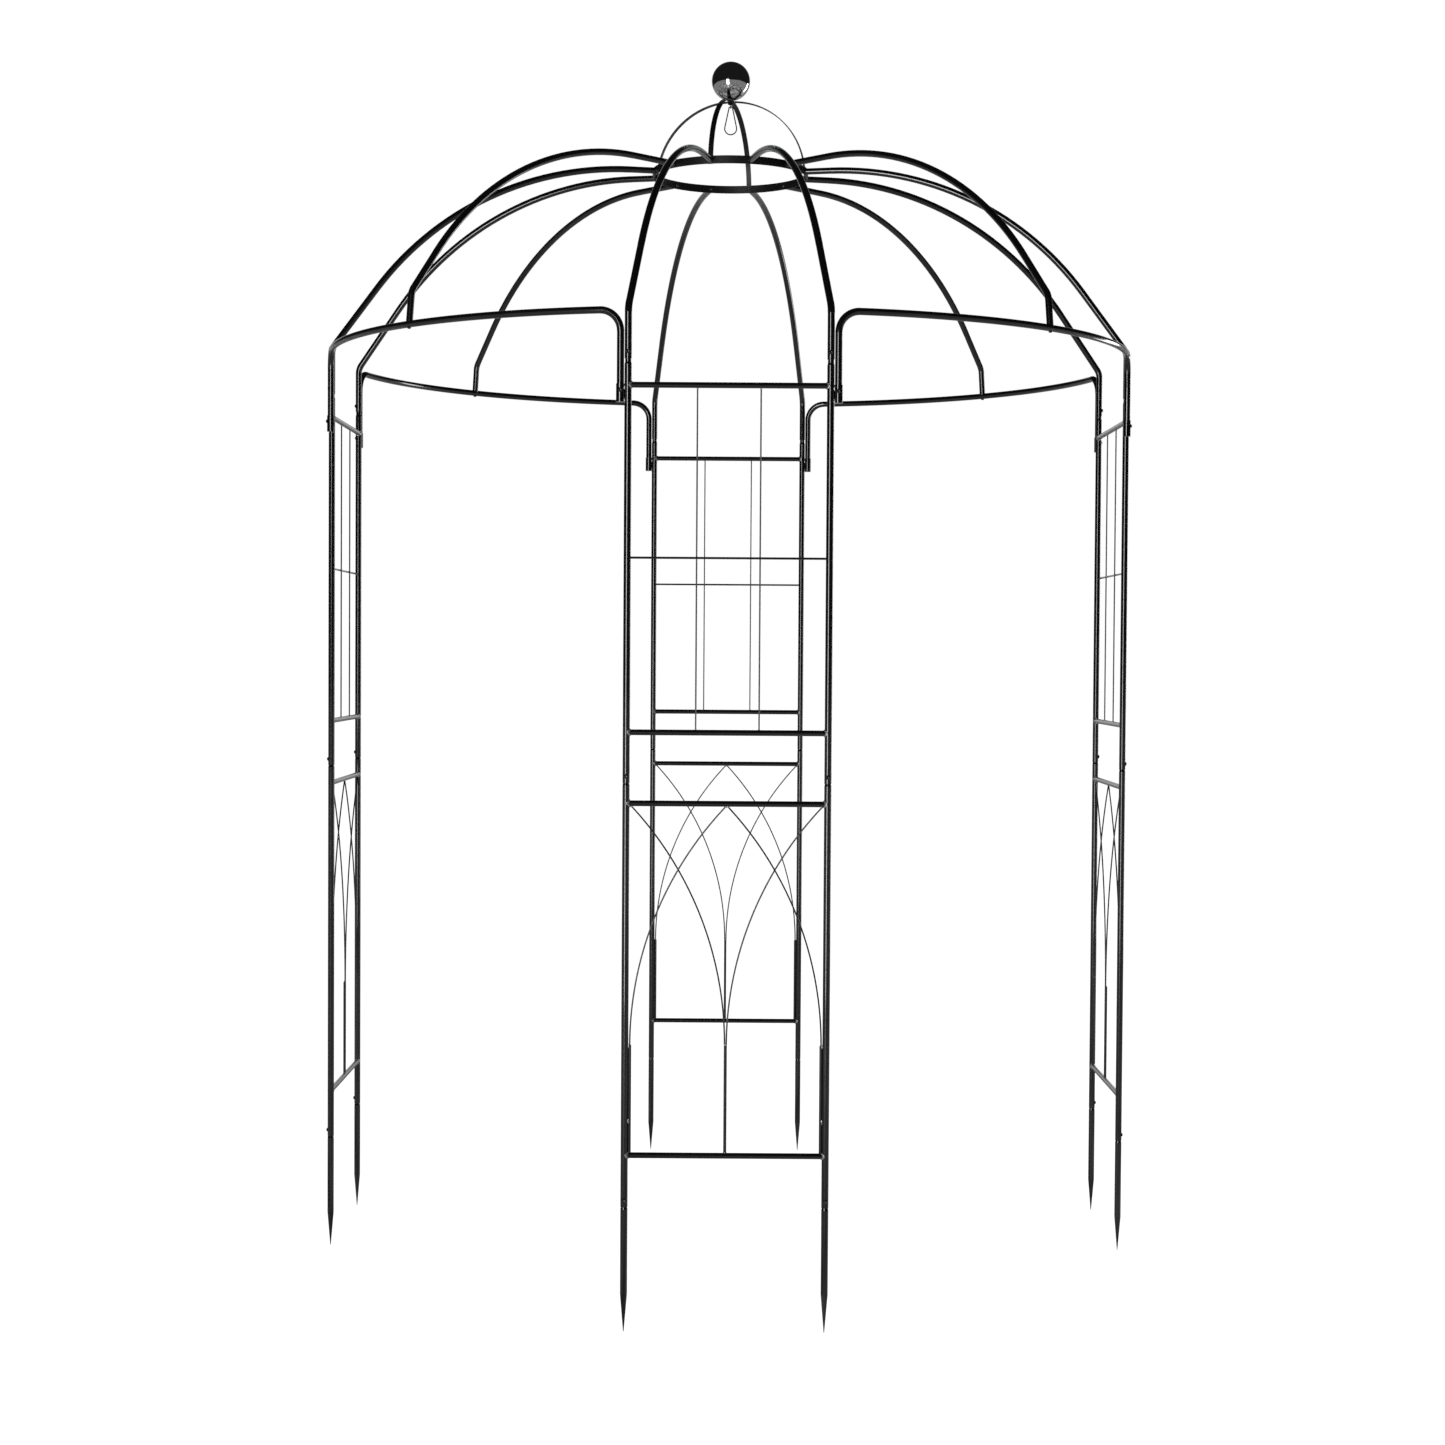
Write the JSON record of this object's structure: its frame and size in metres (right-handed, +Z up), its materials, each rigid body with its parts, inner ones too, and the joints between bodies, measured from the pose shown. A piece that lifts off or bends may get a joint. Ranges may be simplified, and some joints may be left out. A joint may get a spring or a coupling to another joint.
{
  "type": "domed garden pavilion trellis",
  "caption": "Free-standing domed garden pavilion of black steel tube: ladder trellis panels on ground spikes, header arches, dome ribs, a crown ring and a mirror ball.",
  "frame": {"origin": "centre of the pavilion's plan, at the level of the eight spike tips", "axes": "+Z up; the front panel faces -Y and +X runs to the right along it"},
  "size_m": [2.0258, 2.0258, 3.0462],
  "materials": {
    "frame_paint": "gloss",
    "black_fasteners": "satin",
    "mirror_steel": "polished",
    "dark_zinc": "satin"
  },
  "bodies": {
    "pavilion": {"lower_panel_front": "frame_paint", "lower_panel_right": "frame_paint", "lower_panel_back": "frame_paint", "lower_panel_left": "frame_paint", "upper_panel_front": "frame_paint", "upper_panel_right": "frame_paint", "upper_panel_back": "frame_paint", "upper_panel_left": "frame_paint", "spike_front_left": "frame_paint", "spike_front_right": "frame_paint", "spike_right_left": "frame_paint", "spike_right_right": "frame_paint", "spike_back_left": "frame_paint", "spike_back_right": "frame_paint", "spike_left_left": "frame_paint", "spike_left_right": "frame_paint", "arch_front_right": "frame_paint", "arch_right_back": "frame_paint", "arch_back_left": "frame_paint", "arch_left_front": "frame_paint", "rib_front_left": "frame_paint", "rib_front_right": "frame_paint", "rib_right_left": "frame_paint", "rib_right_right": "frame_paint", "rib_back_left": "frame_paint", "rib_back_right": "frame_paint", "rib_left_left": "frame_paint", "rib_left_right": "frame_paint", "mid_rib_front_right": "frame_paint", "mid_rib_right_back": "frame_paint", "mid_rib_back_left": "frame_paint", "mid_rib_left_front": "frame_paint", "crown_ring": "frame_paint", "hoop_lower": "frame_paint", "hoop_upper": "frame_paint", "mirror_ball": "mirror_steel", "ball_stud": "dark_zinc", "ball_nut": "dark_zinc", "spike_screws": "black_fasteners", "panel_screws": "black_fasteners", "rib_screws": "black_fasteners", "arch_screws": "black_fasteners", "crown_bolts": "black_fasteners", "arch_bolts": "black_fasteners"},
    "loop": {"hanging_loop": "dark_zinc"}
  },
  "joints": [
    {"name": "loop_swing", "type": "hinge", "parent": "pavilion", "child": "loop", "pos_m": [0, 0, 2.92986], "axis": [1, 0, 0], "range_deg": [-70, 70]}
  ]
}
